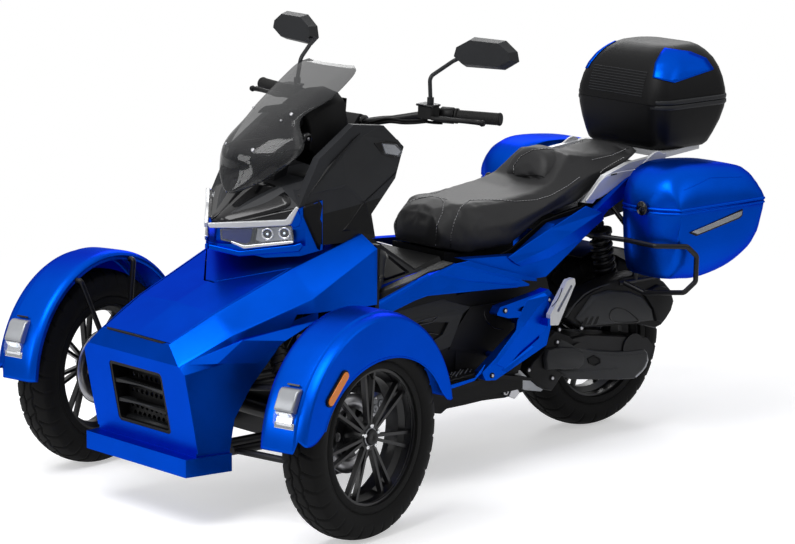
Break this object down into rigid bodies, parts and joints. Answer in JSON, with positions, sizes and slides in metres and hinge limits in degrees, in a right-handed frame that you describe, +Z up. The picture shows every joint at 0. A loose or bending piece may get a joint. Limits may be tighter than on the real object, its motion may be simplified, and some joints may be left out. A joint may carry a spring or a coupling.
{
  "type": "motorized trike",
  "caption": "Motorized trike: steered front wheels under crowned fenders, one driven rear wheel, wedge nose, windscreen, stepped seat, tail box and side cases that open.",
  "frame": {"origin": "on the ground under the middle of the vehicle's length and width", "axes": "+X forward, +Y to the rider's left, +Z up"},
  "size_m": [2.2701, 1.4768, 1.3244],
  "materials": {
    "body_blue": "satin metallic paint on moulded panels",
    "charcoal_plastic": "fine-grained satin plastic",
    "black_plastic": "matte moulded plastic",
    "frame_paint": "semi-gloss black paint on steel tube",
    "rim_black": "gloss black paint on cast alloy",
    "spring_paint": "painted spring over a bright damper",
    "bright_steel": "ground steel",
    "alloy": "satin alloy castings",
    "rack_silver": "silver-painted alloy",
    "tyre_rubber": "treaded tyre rubber",
    "grip_rubber": "grips, switch boxes and levers",
    "seat_leather": "grained seat cover with pale seams",
    "lens_clear": "clear lamp lens",
    "lens_red": "red lamp lens",
    "screen_smoke": "smoked windscreen sheet",
    "exhaust_black": "heat-resistant black paint"
  },
  "bodies": {
    "chassis": {"frame": "frame_paint", "suspension_arms": "frame_paint", "shocks": "spring_paint", "nose_shell": "body_blue", "front_trunk": "black_plastic", "nose_grille": "black_plastic", "headlamp_housing": "black_plastic", "headlamp_lens": "lens_clear", "front_cowl": "charcoal_plastic", "windshield": "screen_smoke", "leg_shield": "charcoal_plastic", "floorboards": "black_plastic", "side_beams": "body_blue", "side_braces": "body_blue", "tail_panels": "body_blue", "tail_unit": "black_plastic", "tail_lamp": "lens_red", "seat_bucket": "black_plastic", "rear_rack": "rack_silver", "top_box_base": "black_plastic", "pannier_bases": "body_blue", "engine": "alloy", "drive_case": "black_plastic", "air_box": "black_plastic", "exhaust": "exhaust_black", "rear_mudguard": "black_plastic"},
    "hood": {"hood_lid": "body_blue"},
    "seat": {"seat": "seat_leather"},
    "top_lid": {"top_box_lid": "black_plastic"},
    "pannier_lid_left": {"pannier_lid_left": "body_blue"},
    "pannier_lid_right": {"pannier_lid_right": "body_blue"},
    "peg_left": {"peg_left": "alloy"},
    "peg_right": {"peg_right": "alloy"},
    "steering": {"handlebar": "frame_paint", "hand_controls": "grip_rubber", "mirrors": "black_plastic"},
    "rack": {"tie_rods": "bright_steel"},
    "knuckle_left": {"knuckle_left": "alloy", "fender_left": "body_blue", "fender_lamp_left": "lens_clear"},
    "knuckle_right": {"knuckle_right": "alloy", "fender_right": "body_blue", "fender_lamp_right": "lens_clear"},
    "wheel_front_left": {"front_tyre_left": "tyre_rubber", "front_rim_left": "rim_black"},
    "wheel_front_right": {"front_tyre_right": "tyre_rubber", "front_rim_right": "rim_black"},
    "wheel_rear": {"rear_tyre": "tyre_rubber", "rear_rim": "rim_black"}
  },
  "joints": [
    {"name": "steering", "type": "hinge", "parent": "chassis", "child": "steering", "pos_m": [0.308, 0, 1.04], "axis": [-0.1392, 0, 0.9903], "range_deg": [-42, 18]},
    {"name": "steer_left", "type": "hinge", "parent": "chassis", "child": "knuckle_left", "pos_m": [0.758, 0.516, 0.292], "axis": [0, 0, 1], "range_deg": [-42, 18]},
    {"name": "steer_right", "type": "hinge", "parent": "chassis", "child": "knuckle_right", "pos_m": [0.758, -0.516, 0.292], "axis": [0, 0, 1], "range_deg": [-42, 18]},
    {"name": "rack_slide", "type": "slide", "parent": "chassis", "child": "rack", "axis": [0, 1, 0], "range_m": [-0.032, 0.074]},
    {"name": "spin_front_left", "type": "hinge", "parent": "knuckle_left", "child": "wheel_front_left", "pos_m": [0.74137, 0.59425, 0.292], "axis": [-0.2079, 0.9781, 0], "continuous": true},
    {"name": "spin_front_right", "type": "hinge", "parent": "knuckle_right", "child": "wheel_front_right", "pos_m": [0.77463, -0.59425, 0.292], "axis": [-0.2079, 0.9781, 0], "continuous": true},
    {"name": "spin_rear", "type": "hinge", "parent": "chassis", "child": "wheel_rear", "pos_m": [-0.692, 0, 0.275], "axis": [0, 1, 0], "continuous": true},
    {"name": "hood_hinge", "type": "hinge", "parent": "chassis", "child": "hood", "pos_m": [1.061, 0, 0.523], "axis": [0, 1, 0], "range_deg": [0, 60]},
    {"name": "seat_hinge", "type": "hinge", "parent": "chassis", "child": "seat", "pos_m": [0.033, 0, 0.64], "axis": [0, 1, 0], "range_deg": [0, 40]},
    {"name": "top_lid_hinge", "type": "hinge", "parent": "chassis", "child": "top_lid", "pos_m": [-0.807, 0, 1.0143], "axis": [0, 1, 0], "range_deg": [0, 80]},
    {"name": "pannier_hinge_left", "type": "hinge", "parent": "chassis", "child": "pannier_lid_left", "pos_m": [-0.812, 0.452, 0.736], "axis": [-1, 0, 0], "range_deg": [0, 85]},
    {"name": "pannier_hinge_right", "type": "hinge", "parent": "chassis", "child": "pannier_lid_right", "pos_m": [-0.812, -0.452, 0.736], "axis": [1, 0, 0], "range_deg": [0, 85]},
    {"name": "peg_fold_left", "type": "hinge", "parent": "chassis", "child": "peg_left", "pos_m": [-0.252, 0.316, 0.436], "axis": [-1, 0, 0], "range_deg": [0, 85]},
    {"name": "peg_fold_right", "type": "hinge", "parent": "chassis", "child": "peg_right", "pos_m": [-0.252, -0.316, 0.436], "axis": [1, 0, 0], "range_deg": [0, 85]}
  ],
  "couplings": [
    {"joint": "steer_left", "follows": "steering", "ratio": 1},
    {"joint": "steer_right", "follows": "steering", "ratio": 1},
    {"joint": "rack_slide", "follows": "steering", "m_per_rad": -0.1}
  ]
}
